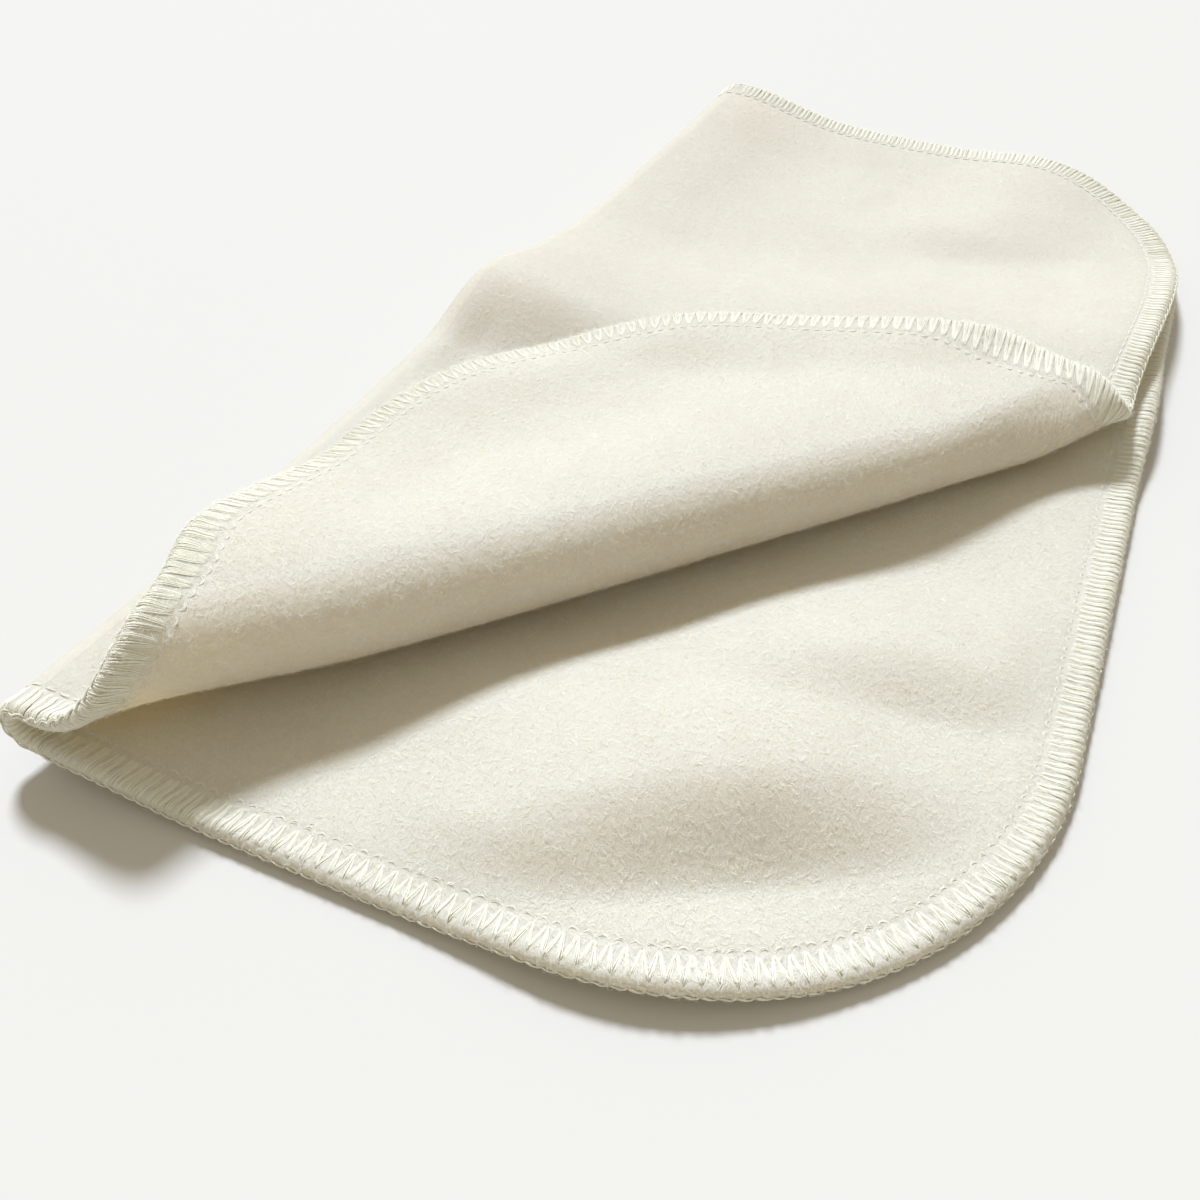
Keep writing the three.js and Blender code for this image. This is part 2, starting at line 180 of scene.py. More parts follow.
def yarnMaterial(kind, s=yarnLook):
    look = s[kind]
    material, wire = newMaterial(kind + "_yarn")
    where = wire.node("ShaderNodeTexCoord", None, None, "Object")
    speck = wire.noise(where, 1000 / s["speck"], 2.0, 0.6, 0.4)
    shade = wire.noise(where, s["shade"])
    tone = (speck - 0.5) + (shade - 0.5) * s["shadeTone"] + s["toneStart"]
    relief = wire.node("ShaderNodeBump", None, {
        "Strength": s["bump"], "Distance": s["bumpDepth"], "Height": speck})
    surface = wire.node("ShaderNodeBsdfPrincipled", None, {
        "Base Color": wire.mix(tone, look["pale"], look["warm"]), "Normal": relief,
        "Roughness": look["rough"] + (shade - 0.5) * s["shadeGloss"],
        "Specular IOR Level": s["specular"], "Sheen Weight": s["sheen"], "Sheen Roughness": s["sheenRough"]})
    through = wire.node("ShaderNodeBsdfTranslucent", None, {"Color": look["pale"]})
    showShader(wire, wire.node("ShaderNodeMixShader", None, {0: s["throughShare"], 1: surface, 2: through}))
    return material


# the ends of single fibres, in three even tones
napLook = {
    "tones": ((0.95, 0.94, 0.86, 1), (0.86, 0.84, 0.74, 1), (0.97, 0.965, 0.905, 1)),
    "rough": 0.5, "specular": 0.6, "throughShare": 0.45,
}


def napMaterial(tone, s=napLook):
    material, wire = newMaterial("nap" + str(tone))
    surface = wire.node("ShaderNodeBsdfPrincipled", None, {
        "Base Color": s["tones"][tone], "Roughness": s["rough"], "Specular IOR Level": s["specular"]})
    through = wire.node("ShaderNodeBsdfTranslucent", None, {"Color": s["tones"][tone]})
    showShader(wire, wire.node("ShaderNodeMixShader", None, {0: s["throughShare"], 1: surface, 2: through}))
    return material


materials = {
    "flannel": flannelMaterial(),
    "needle": yarnMaterial("needle"),
    "looper": yarnMaterial("looper"),
}
napTones = [napMaterial(tone) for tone in range(len(napLook["tones"]))]
print("materials made")

# the folded cloth, in millimetres from the crease side and the front edge
fold = {
    "width": 150.0, "length": 247.0, "thick": 1.8,
    "setback": 1.5,                              # the top layer stops short of the bottom one
    "frontCorner": 62.5, "backCorner": 47.5,
    "layer": 3.9, "flapGap": 3.3, "bend": 1.65,
    "hemRise": 0.8, "hemRim": 6.3, "hemBlend": 20.0,
}
crease = {
    "start": 2.6, "slope": 0.063, "kink": 2.8, "kinkAt": 142.0, "kinkLength": 12.0, "backSlope": 0.052,
    "radius": 4.1, "puff": 0.8, "puffFrom": 70.0, "puffTo": 120.0, "backPuff": 1.0, "backReach": 65.0,
    "fall": 20.0,
}
turn = {
    "angle": math.radians(45.9), "x": 78.7, "y": 80.6, "shift": 5.0, "shiftReach": 23.0,
    "frontInside": 6.2, "backInside": 2.0, "swell": 1.7, "swellShape": 0.9,
    "fall": 42.0, "bow": 11.3, "bowFrom": 12.0, "bowTo": 214.0, "bowReach": 18.0,
    # the flap's hem hangs over the crease
    "hang": 3.2, "hangAt": 57.0, "hangReach": 30.0, "hangFront": 35.0, "hangPast": 12.0,
    # the end of the roll is drawn in from the open side, and the hem curves out to the flap's point
    "drawIn": 5.0, "drawReach": 45.0, "drawFrom": -32.0,
    "round": 6.0, "roundAt": 126.0, "roundReach": 24.0, "roundFrom": (4.0, 15.0),
    # the flap stands up behind its hem
    "pillow": 5.0, "droop": 18.0, "pillowFrom": 10.0, "pillowTo": 50.0,
}
# swells of the bottom layer, and the waves of its edges
mainSwell = {"height": 9.4, "x": 98.0, "y": 33.0, "turn": math.radians(31), "reach": 52.0, "front": 17.6, "back": 42.0}
sideSwell = {"height": 3.8, "x": 118.0, "y": 71.0, "turn": math.radians(16), "reach": 44.0, "front": 14.0, "back": 26.0}
swellInset = 16.0
tipLift = {"height": 3.2, "reachX": 39.0, "reachY": 113.0}
frontWave = {"height": 2.2, "x": 101.0, "reachX": 36.0, "reachY": 32.0}
sideWave = {"height": 3.6, "y": 153.0, "reachX": 43.0, "front": 23.0, "back": 30.0}
# the ridge across the top layer, sharpest at the crease, and the dip in front of it, where the flap bridges over
ridge = {
    "height": 5.0, "y": 131.0, "slope": 0.05, "bend": 0.0018,
    "front": 21.0, "wider": 5.0, "widerFrom": 25.0, "widerTo": 80.0, "back": 40.0,
    "fade": 0.25, "fadeFrom": 90.0, "fadeTo": 150.0,
}
dip = {"depth": 1.7, "ahead": 21.0, "reach": 19.0, "pastCrease": 7.0, "fadeFrom": 50.0, "fadeTo": 90.0}
backWave = {"height": 2.2, "x": 107.0, "y": 217.0, "lean": 0.35, "reach": 26.0, "from": 190.0, "to": 205.0}
turn["along"] = np.array([math.cos(turn["angle"]), math.sin(turn["angle"])])
turn["across"] = np.array([math.sin(turn["angle"]), -math.cos(turn["angle"])])
turn["front"] = -turn["y"] / turn["along"][1]
turn["back"] = (fold["width"] - turn["x"]) / turn["along"][0]
topSide = fold["width"] - fold["setback"]


def smooth(start, end, value):
    t = np.clip((value - start) / (end - start), 0, 1)
    return t * t * (3 - 2 * t)


def hump(distance, reach):
    return np.maximum(0, 1 - (distance / reach) ** 2) ** 2


def lerp(a, b, t):
    return a + (b - a) * t


def unit(vectors):
    return vectors / np.maximum(np.linalg.norm(vectors, axis=-1, keepdims=True), 1e-9)


def creaseRadius(y, c=crease):
    puff = c["puff"] * smooth(c["puffFrom"], c["puffTo"], y)
    puff = puff * (1 - smooth(c["kinkAt"] - c["kinkLength"], c["kinkAt"] + c["kinkLength"] / 2, y))
    return c["radius"] + puff + c["backPuff"] * hump(fold["length"] - y, c["backReach"])


def creaseMiddle(y, c=crease):
    reach = c["kinkLength"] / 2
    outside = c["start"] + c["slope"] * y + c["kink"] * smooth(c["kinkAt"] - reach, c["kinkAt"] + reach, y)
    return outside + c["backSlope"] * np.maximum(0, y - c["kinkAt"]) + creaseRadius(y)


# distance in from the cut edge of a layer whose open side is at side
def insetOf(x, y, side):
    f, b = fold["frontCorner"], fold["backCorner"]
    frontX, frontY = x - (side - f), f - y
    backX, backY = x - (side - b), y - (fold["length"] - b)
    inset = np.minimum(np.minimum(side - x, y), fold["length"] - y)
    inset = np.where((frontX > 0) & (frontY > 0), f - np.hypot(frontX, frontY), inset)
    return np.where((backX > 0) & (backY > 0), b - np.hypot(backX, backY), inset)


# steeper in front of its crest than behind
def leaningHump(behind, front, back):
    return np.where(behind < 0, hump(behind, front), hump(behind, back))


# a long low wave in the cloth
def swellAt(x, y, w):
    along = (x - w["x"]) * math.cos(w["turn"]) + (y - w["y"]) * math.sin(w["turn"])
    behind = (y - w["y"]) * math.cos(w["turn"]) - (x - w["x"]) * math.sin(w["turn"])
    return w["height"] * hump(along, w["reach"]) * leaningHump(behind, w["front"], w["back"])


def bottomHeight(x, y):
    inset = insetOf(x, y, fold["width"])
    rise = fold["hemRise"] * (1 - smooth(fold["hemRim"], fold["hemRim"] + fold["hemBlend"], inset))
    tip, front, side = tipLift, frontWave, sideWave
    waves = (tip["height"] * hump(x, tip["reachX"]) * hump(y, tip["reachY"])
             + front["height"] * hump(x - front["x"], front["reachX"]) * hump(y, front["reachY"])
             + side["height"] * hump(x - fold["width"], side["reachX"])
             * leaningHump(y - side["y"], side["front"], side["back"]))
    swells = swellAt(x, y, mainSwell) + swellAt(x, y, sideSwell)
    return fold["thick"] / 2 + rise + waves + swells * smooth(0, swellInset, inset)


def behindRidge(x, y):
    return y - (ridge["y"] + ridge["slope"] * x + ridge["bend"] * x * x)


def topHeight(x, y):
    row = np.clip(y, 0, fold["length"])
    past = np.maximum(0, x - creaseMiddle(row))
    loop = (2 * creaseRadius(row) - fold["layer"]) * np.exp(-(past / crease["fall"]) ** 2)
    front = ridge["front"] + ridge["wider"] * smooth(ridge["widerFrom"], ridge["widerTo"], x)
    crest = ridge["height"] * leaningHump(behindRidge(x, y), front, ridge["back"])
    crest = crest * (1 - ridge["fade"] * smooth(ridge["fadeFrom"], ridge["fadeTo"], x))
    w = backWave
    wave = w["height"] * hump(x - w["x"] - w["lean"] * (y - w["y"]), w["reach"]) * smooth(w["from"], w["to"], y)
    return bottomHeight(x, y) + fold["layer"] + loop + crest + wave


def topDip(x, y):
    past = x - creaseMiddle(np.clip(y, 0, fold["length"]))
    depth = dip["depth"] * hump(behindRidge(x, y) + dip["ahead"], dip["reach"])
    return depth * smooth(0, dip["pastCrease"], past) * (1 - smooth(dip["fadeFrom"], dip["fadeTo"], x))


def rollRadius(s):
    share = np.clip((s - turn["front"]) / (turn["back"] - turn["front"]), 0, 1)
    inside = lerp(turn["frontInside"], turn["backInside"], share)
    return fold["bend"] + inside + turn["swell"] * np.sin(np.pi * share) ** turn["swellShape"]


def turnShift(s):
    return turn["shift"] * np.exp(-((s - turn["front"]) / turn["shiftReach"]) ** 2)


def toTurn(x, y):
    dx, dy = x - turn["x"], y - turn["y"]
    s = dx * turn["along"][0] + dy * turn["along"][1]
    return s, dx * turn["across"][0] + dy * turn["across"][1] - turnShift(s)


def fromTurn(s, n):
    out = n + turnShift(s)
    return (turn["x"] + s * turn["along"][0] + out * turn["across"][0],
            turn["y"] + s * turn["along"][1] + out * turn["across"][1])


# how far a place is past the start of the roll, and where the roll ends
def turnedBack(x, y):
    s, n = toTurn(x, y)
    return n, np.pi * rollRadius(s)


def placeBottom(x, y):
    return np.stack([x, y, bottomHeight(x, y)], -1)


def placeCrease(angle, y):
    middle = creaseMiddle(y)
    foot = bottomHeight(middle, y)
    rise = (topHeight(middle, y) - foot) / 2
    return np.stack([middle - creaseRadius(y) * np.sin(angle), y, foot + rise * (1 - np.cos(angle))], -1)


# the top layer with its roll and flap, from a place on the layer before its corner was turned back
def placeTop(x, y):
    s, n = toTurn(x, y)
    radius = rollRadius(s)
    angle = np.clip(n / radius, 0, np.pi)
    past = np.maximum(0, n - np.pi * radius)
    footX, footY = fromTurn(s, 0 * s)
    outX, outY = fromTurn(s, radius * np.sin(angle))
    backX, backY = fromTurn(s, -past)
    bow = np.sin(np.pi * np.clip((y - turn["bowFrom"]) / (turn["bowTo"] - turn["bowFrom"]), 0, 1)) ** 2
    backY = backY + turn["bow"] * bow * smooth(0, turn["bowReach"], past)
    hang = turn["hang"] * hump(x - turn["hangAt"], turn["hangReach"]) * (1 - smooth(0, turn["hangFront"], y))
    backX = backX - hang * smooth(0, turn["hangPast"], past)
    gap = fold["flapGap"] + (2 * radius - fold["flapGap"]) * (1 - smooth(0, turn["fall"], past))
    droop = 1 - np.clip(insetOf(x, y, topSide) / turn["droop"], 0, 1)
    gap = gap + turn["pillow"] * (1 - droop ** 2) * smooth(turn["pillowFrom"], turn["pillowTo"], past)
    flat = np.stack([x, y, topHeight(x, y) - topDip(x, y)], -1)
    rolled = np.stack([outX, outY, topHeight(footX, footY) + radius * (1 - np.cos(angle))], -1)
    flap = np.stack([backX, backY, topHeight(backX, backY) + gap], -1)
    placed = np.where((n <= 0)[..., None], flat, np.where((past > 0)[..., None], flap, rolled))
    drawn = turn["drawIn"] * smooth(turn["back"] - turn["drawReach"], turn["back"], s) * smooth(turn["drawFrom"], 0, n)
    out = turn["round"] * hump(y - turn["roundAt"], turn["roundReach"]) * smooth(*turn["roundFrom"], n)
    return placed - drawn[..., None] * np.append(turn["along"], 0) + out[..., None] * np.array([0, 1, 0])


# normals of the placed cloth; the wide step rounds the small kinks where the bends begin
def slopesOf(place, u, v, step=0.4):
    scale = 1 / crease["radius"] if place is placeCrease else 1
    along = (place(u + step * scale, v) - place(u - step * scale, v)) / (2 * step)
    across = (place(u, v + step) - place(u, v - step)) / (2 * step)
    return along, across, scale


def normalsOf(place, u, v, step=0.4):
    along, across, _ = slopesOf(place, u, v, step)
    return unit(np.cross(along, across))


def toModel(points):
    return (points - np.array([fold["width"] / 2, fold["length"] / 2, 0])) / 1000


# the cut edge of a layer, from the crease at the front round to the crease at the back
def edgeRuns(side):
    f, b = fold["frontCorner"], fold["backCorner"]
    return np.array([side - f - creaseMiddle(0.0), f * math.pi / 2, fold["length"] - f - b, b * math.pi / 2,
                     side - b - creaseMiddle(fold["length"])])


def edgePlace(side, distance, inset):
    distance, inset = np.broadcast_arrays(np.asarray(distance, float), np.asarray(inset, float))
    f, b, length = fold["frontCorner"], fold["backCorner"], fold["length"]
    runs = edgeRuns(side)
    ends = np.cumsum(runs)
    before = [distance <= end for end in ends[:4]]
    frontAngle = (distance - ends[0]) / f - math.pi / 2
    backAngle = (distance - ends[2]) / b
    x = np.select(
        before,
        [lerp(creaseMiddle(inset), side - f, distance / runs[0]), side - f + (f - inset) * np.cos(frontAngle),
         side - inset, side - b + (b - inset) * np.cos(backAngle)],
        lerp(side - b, creaseMiddle(length - inset), (distance - ends[3]) / runs[4]))
    y = np.select(
        before,
        [inset, f + (f - inset) * np.sin(frontAngle), f + distance - ends[1],
         length - b + (b - inset) * np.sin(backAngle)],
        length - inset)
    return x, y


# the other way: how far round the edge a place is
def edgeDistance(side, x, y):
    f, b, length = fold["frontCorner"], fold["backCorner"], fold["length"]
    runs = edgeRuns(side)
    ends = np.cumsum(runs)
    front, back = side - f, side - b
    onFront = (y < f) & (x <= front)
    onBack = (y > length - b) & (x <= back)
    frontArc = (y < f) & (x > front)
    backArc = (y > length - b) & (x > back)
    return np.select(
        [onFront, frontArc, backArc, onBack],
        [runs[0] * (x - creaseMiddle(y)) / (front - creaseMiddle(y)),
         ends[0] + f * (np.arctan2(y - f, x - front) + math.pi / 2),
         ends[2] + b * np.arctan2(y - (length - b), x - back),
         ends[3] + runs[4] * (back - x) / (back - creaseMiddle(y))],
        ends[1] + y - f)


# the hem: half the thickness of the cloth, swollen at the stitched edge and puffed up between the stitches
hem = {
    "pitch": 2.35, "roll": 1.32, "rollEnds": 3.9, "needleAt": 5.75, "needleDent": 0.08, "needleReach": 0.9,
    "pinch": 0.24, "pinchAt": 0.5, "pinchReach": 2.6, "puffShape": 0.6,
}


def halfThick(inset, distance):
    half = fold["thick"] / 2
    r = hem["roll"]
    puff = np.abs(np.cos(np.pi * distance / hem["pitch"])) ** hem["puffShape"]
    pinched = 1 - hem["pinch"] * hump(inset - hem["pinchAt"], hem["pinchReach"]) * (1 - puff)
    inner = half + (r - half) * (1 - smooth(r, hem["rollEnds"], inset))
    inner = inner - hem["needleDent"] * hump(inset - hem["needleAt"], hem["needleReach"])
    bent = r * np.sqrt(np.maximum(0, 1 - (1 - np.minimum(inset, r) / r) ** 2))
    return np.where(inset < r, bent, inner) * pinched


hemMiddle = 3.0   # inset that decides which stretch a stitch or a fibre is on


def stitchesOn(length):
    return int(round(length / hem["pitch"]))


def meshObject(name, points, faces, normals=None):
    mesh = bpy.data.meshes.new(name)
    mesh.from_pydata(points, [], faces)
    mesh.polygons.foreach_set("use_smooth", [True] * len(mesh.polygons))
    if normals is not None:
        mesh.normals_split_custom_set(normals)
    mesh.update()
    piece = bpy.data.objects.new(name, mesh)
    scene.collection.objects.link(piece)
    return piece


# a closed shell over triangles of flat cloth; the two faces meet where the thickness runs out
def shellObject(name, place, u, v, triangles, thickness):
    used = np.unique(triangles)
    renumber = np.zeros(len(u), int)
    renumber[used] = np.arange(len(used))
    u, v, triangles = u[used], v[used], renumber[triangles]
    count = len(u)
    half = thickness(u, v)
    sharp = half < 1e-6
    normal = normalsOf(place, u, v)

    # the faces lean by the slope of the thickness
    along, across, scale = slopesOf(place, u, v)
    step = 0.05
    slopeU = (thickness(u + step * scale, v) - thickness(u - step * scale, v)) / (2 * step)
    slopeV = (thickness(u, v + step) - thickness(u, v - step)) / (2 * step)
    lean = along * (slopeU / (along ** 2).sum(1))[:, None] + across * (slopeV / (across ** 2).sum(1))[:, None]

    def faceNormal(sign):
        return unit(sign * normal - lean)

    points = place(u, v)
    points = np.concatenate([points + half[:, None] * normal, (points - half[:, None] * normal)[~sharp]])
    normals = np.concatenate([faceNormal(1), faceNormal(-1)[~sharp]])
    normals[:count][sharp] = edgeOutward(place, u[sharp], v[sharp])
    under = np.arange(count)
    under[~sharp] = count + np.arange((~sharp).sum())
    faces = triangles.tolist() + under[triangles[:, ::-1]].tolist()
    corners = np.concatenate([triangles.ravel(), under[triangles[:, ::-1]].ravel()])
    loopNormals = normals[corners].tolist()
    # walls where the sheet goes on in its neighbour
    edges = np.concatenate([triangles[:, [0, 1]], triangles[:, [1, 2]], triangles[:, [2, 0]]])
    known = set(map(tuple, edges.tolist()))
    for p, q in edges.tolist():
        if (q, p) not in known and not (sharp[p] and sharp[q]):
            wall = list(dict.fromkeys([q, p, int(under[p]), int(under[q])]))
            faces.append(wall)
            loopNormals += [(0, 0, 0)] * len(wall)
    return meshObject(name, toModel(points), faces, loopNormals)


# which way is out of the cloth at its cut edge
def edgeOutward(place, u, v):
    if place is placeCrease:
        out = np.zeros((len(u), 3))
        out[:, 1] = np.where(v < fold["length"] / 2, -1, 1)
        return out
    side = fold["width"] if place is placeBottom else topSide
    distance = edgeDistance(side, u, v)
    return unit(place(*edgePlace(side, distance, 0.0)) - place(*edgePlace(side, distance, 0.1)))


# rings of places along the hem, as inset and places to a stitch, finest at the rolled edge
rings = [(0.0, 6), (0.08, 6), (0.3, 6), (0.65, 6), (1.1, 6), (1.6, 6), (2.2, 6), (2.9, 4), (3.6, 3), (4.4, 2),
         (5.2, 2), (5.75, 2), (6.3, 2), (7.2, 2), (8.6, 1.6), (10.2, 1.5)]
# triangles over the rest, in millimetres, and how many places the seams and the crease have
lattice = {
    "step": 1.7, "rowStep": 1.7 * 0.866, "clearOfHem": 0.8, "clearOfCrease": 0.9, "clearOfTurn": 0.7,
    "seamPlaces": 141, "turnPlaces": 110, "turnSearch": 40001, "turnBeyond": 10.0, "creaseSteps": 25,
}


def seamRows():
    ends = np.array([inset for inset, _ in rings])
    between = np.linspace(ends[-1], fold["length"] - ends[-1], lattice["seamPlaces"])[1:-1]
    return np.concatenate([ends, between, fold["length"] - ends[::-1]])


# places along a line of the turn, close together where it crosses the hem
def turnLine(distanceOf):
    beyond = lattice["turnBeyond"]
    s = np.linspace(turn["front"] - beyond, turn["back"] + beyond, lattice["turnSearch"])
    x, y = fromTurn(s, distanceOf(s))
    inset = insetOf(x, y, topSide)
    inside = np.flatnonzero(inset >= 0)
    first, last = inside[0], inside[-1]
    middle = (first + last) // 2
    ends = np.array([value for value, _ in rings])
    front = np.interp(ends, inset[first:middle], s[first:middle])
    back = np.interp(ends, inset[last:middle:-1], s[last:middle:-1])
    between = np.linspace(front[-1], back[-1], lattice["turnPlaces"])[1:-1]
    at = np.concatenate([front, between, back[::-1]])
    return fromTurn(at, distanceOf(at))


def flatTriangles(side, lines):
    length = edgeRuns(side).sum()
    points, edges = [], []

    def add(x, y, joined):
        start = sum(len(p) for p in points)
        points.append(np.stack([x, y], 1))
        if joined:
            edges.extend((start + k, start + k + 1) for k in range(len(x) - 1))

    for inset, share in rings:
        distance = np.linspace(0, length, int(round(stitchesOn(length) * share)) + 1)[1:-1]
        add(*edgePlace(side, distance, inset), False)
    rows = seamRows()
    add(creaseMiddle(rows), rows, True)
    for line in lines:
        add(*line, True)
    gridX, gridY = np.meshgrid(np.arange(0, side, lattice["step"]), np.arange(0, fold["length"], lattice["rowStep"]))
    gridX = gridX + lattice["step"] / 2 * (np.arange(len(gridX)) % 2)[:, None]
    x, y = gridX.ravel(), gridY.ravel()
    clear = insetOf(x, y, side) > rings[-1][0] + lattice["clearOfHem"]
    clear &= x > creaseMiddle(y) + lattice["clearOfCrease"]
    if lines:
        n, end = turnedBack(x, y)
        clear &= (np.abs(n) > lattice["clearOfTurn"]) & (np.abs(n - end) > lattice["clearOfTurn"])
    add(x[clear], y[clear], False)
    flat = np.concatenate(points)
    made = delaunay_2d_cdt([Vector(p) for p in flat], edges, [], 0, 1e-6)
    flat = np.array([tuple(p) for p in made[0]])
    triangles = np.array(made[2])
    corners = flat[triangles]
    centre = corners.mean(1)
    area = np.cross(corners[:, 1] - corners[:, 0], corners[:, 2] - corners[:, 0])
    keep = (centre[:, 0] > creaseMiddle(centre[:, 1])) & (insetOf(centre[:, 0], centre[:, 1], side) > 0)
    keep &= np.abs(area) > 1e-7
    triangles[area < 0] = triangles[area < 0][:, ::-1]
    return flat[:, 0], flat[:, 1], triangles[keep], np.abs(area[keep]) / 2


def sheetThickness(side):
    length = edgeRuns(side).sum()
    even = stitchesOn(length) * hem["pitch"] / length

    def thickness(x, y):
        inset = insetOf(x, y, side)
        return halfThick(np.maximum(inset, 0), edgeDistance(side, x, y) * even) * (inset > 1e-4)
    return thickness


def creaseThickness(angle, y):
    inset = np.minimum(y, fold["length"] - y)
    return halfThick(np.maximum(inset, 0), angle * crease["radius"]) * (inset > 1e-4)


def dress(piece, material, *nodes):
    piece.data.materials.append(materials[material])
    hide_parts(*nodes)


# the body that each stretch of cloth goes with, or the fold that it bends in
bodyOf = {"bottom": "bottom_layer", "crease": "crease", "top": "top_layer", "roll": "roll", "flap": "flap"}


def carry(piece, body):
    if body == "crease":
        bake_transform(piece)
    elif body == "roll":
        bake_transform(piece)
    else:
        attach(piece, body)


def addSheets():
    made = {}
    x, y, triangles, areas = flatTriangles(fold["width"], [])
    made["bottom"] = shellObject("bottomPanel", placeBottom, x, y, triangles, sheetThickness(fold["width"]))
    cut = {"bottom": areas.sum()}
    lines = [turnLine(lambda s: 0 * s), turnLine(lambda s: np.pi * rollRadius(s))]
    x, y, triangles, areas = flatTriangles(topSide, lines)
    n, end = turnedBack(x[triangles].mean(1), y[triangles].mean(1))
    for key, name, chosen in (("top", "topPanel", n <= 0), ("roll", "flapRoll", (n > 0) & (n < end)),
                              ("flap", "flapPanel", n >= end)):
        made[key] = shellObject(name, placeTop, x, y, triangles[chosen], sheetThickness(topSide))
        cut[key] = areas[chosen].sum()
    rows = seamRows()
    angles = np.linspace(0, np.pi, lattice["creaseSteps"])
    u, v = (a.ravel() for a in np.meshgrid(angles, rows, indexing="ij"))
    grid = np.arange(len(u)).reshape(len(angles), len(rows))
    a, b, c, d = (g.ravel() for g in (grid[:-1, :-1], grid[1:, :-1], grid[1:, 1:], grid[:-1, 1:]))
    triangles = np.concatenate([np.stack([a, b, c], 1), np.stack([a, c, d], 1)])
    made["crease"] = shellObject("creaseFold", placeCrease, u, v, triangles, creaseThickness)
    cut["crease"] = np.pi * creaseRadius(rows).mean() * fold["length"]
    for key, node in (("bottom", "bottom_panel"), ("crease", "crease_fold"), ("top", "top_panel"),
                      ("roll", "flap_roll"), ("flap", "flap_panel")):
        dress(made[key], "flannel", node)
    return made, cut


sheets, cutAreas = addSheets()
print("flannel made", {key: len(piece.data.polygons) for key, piece in sheets.items()})

# overlock threads, each a bundle of filaments, in millimetres
threads = {
    "needle": {"at": 5.75, "half": 0.1, "apart": 0.16, "wobble": 0.05, "shape": 0.8,
               "bow": 0.5, "lift": 0.16, "sunk": 0.08, "from": 0.10, "run": 0.76,
               "backLift": 0.2, "backSunk": 0.06, "backFrom": 0.08, "backRun": 0.8},
    "looper": {"apex": 5.4, "bundle": 4, "rise": 0.11, "roundness": 0.03, "fanEnd": 1.1,
               "apexSlip": 0.06, "footSlip": 0.22, "stray": 0.05, "looseStray": 0.6, "liftSlip": 0.02,
               "apexSunk": 0.2, "footSunk": 0.3},
    "chain": {"at": -0.5, "half": 0.16, "apart": 0.26, "lift": 0.3, "sunk": 0.05, "shape": 0.7,
              "from": 0.45, "run": 1.1, "sway": 0.3, "wobble": 0.06},
    "filament": {"sides": 5, "flat": 0.9, "thinEnds": 0.55, "shape": 0.7},
}
# how the looper lies: foot is where it goes into the edge, spread and lean are shares of a stitch, the rest is
# slack and filament sizes
manners = {
    "vee": {"foot": 1.6, "open": 0.03, "spread": 0.43, "lean": 0.0,
            "loose": 0.05, "half": 0.1, "apart": 0.16, "fan": 0.3},
    "rib": {"foot": -0.6, "open": 0.2, "spread": 0.25, "lean": 0.12,
            "loose": 0.05, "half": 0.13, "apart": 0.19, "fan": 0.8},
    "arc": {"foot": 0.0, "open": 0.16, "spread": 0.25, "lean": -0.42,
            "loose": 0.06, "half": 0.12, "apart": 0.21, "fan": 0.8},
    "slack": {"foot": -0.5, "open": 0.1, "spread": 0.3, "lean": -0.75,
              "loose": 0.1, "half": 0.14, "apart": 0.24, "fan": 0.6},
    "over": {"foot": 0.1, "open": 0.05, "spread": 0.36, "lean": 0.05,
             "loose": 0.07, "half": 0.115, "apart": 0.2, "fan": 0.4},
}


# a place on the hem's section: q runs from the inner face (+) round the rolled edge to the outer face (-)
def hemSection(q):
    r = hem["roll"]
    bend = r * math.pi / 2
    angle = np.clip(q / r, -math.pi / 2, math.pi / 2)
    bent = np.abs(q) <= bend
    inset = np.where(bent, r * (1 - np.cos(angle)), np.abs(q) - bend + r)
    height = np.sign(q) * np.where(bent, np.abs(r * np.sin(angle)), halfThick(inset, 0 * inset))
    outward = np.where(bent, np.cos(angle), 0)
    upward = np.where(bent, np.sin(angle), np.sign(q))
    return inset, height, outward, upward


class HemRun:
    # one layer's hem, or one end of the crease, and the manner of its stitches along it
    def __init__(self, place, length, at, innerSign, along):
        self.place, self.length, self.at, self.innerSign, self.along = place, length, at, innerSign, along

    def manner(self, distance):
        at = [d for d, _ in self.along]
        return {key: np.interp(distance, at, [manners[name][key] for _, name in self.along])[:, None]
                for key in manners["vee"]}

    def points(self, distance, q, lift):
        inset, height, outward, upward = hemSection(q)
        u, v = self.at(distance, inset)
        normal = self.innerSign * normalsOf(self.place, u, v)
        edge = self.place(*self.at(distance, np.maximum(inset - 0.1, 0)))
        out = unit(edge - self.place(*self.at(distance, inset + 0.1)))
        up = normal * upward[..., None] + out * outward[..., None]
        return self.place(u, v) + normal * height[..., None] + up * lift[..., None], up


# closed tubes along many paths at once
def sweep(paths, ups, wide, high, sides):
    strands, steps = paths.shape[:2]
    tangent = unit(np.gradient(paths, axis=1))
    across = unit(np.cross(ups, tangent))
    up = np.cross(tangent, across)
    angle = np.arange(sides) / sides * 2 * np.pi
    ring = (paths[:, :, None] + across[:, :, None] * (wide[:, :, None] * np.cos(angle))[..., None]
            + up[:, :, None] * (high[:, :, None] * np.sin(angle))[..., None])
    index = np.arange(strands * steps * sides).reshape(strands, steps, sides)
    a, b = index[:, :-1], index[:, 1:]
    quads = np.stack([a, np.roll(a, -1, 2), np.roll(b, -1, 2), b], -1).reshape(-1, 4)
    caps = np.concatenate([index[:, 0, ::-1], index[:, -1]])
    return ring.reshape(-1, 3), quads.tolist() + caps.tolist()


def joined(parts):
    points, faces, start = [], [], 0
    for p, f in parts:
        points.append(p)
        faces.extend(tuple(i + start for i in face) for face in f)
        start += len(p)
    return np.concatenate(points), faces


def faceOf(inset):
    return inset - hem["roll"] + hem["roll"] * math.pi / 2


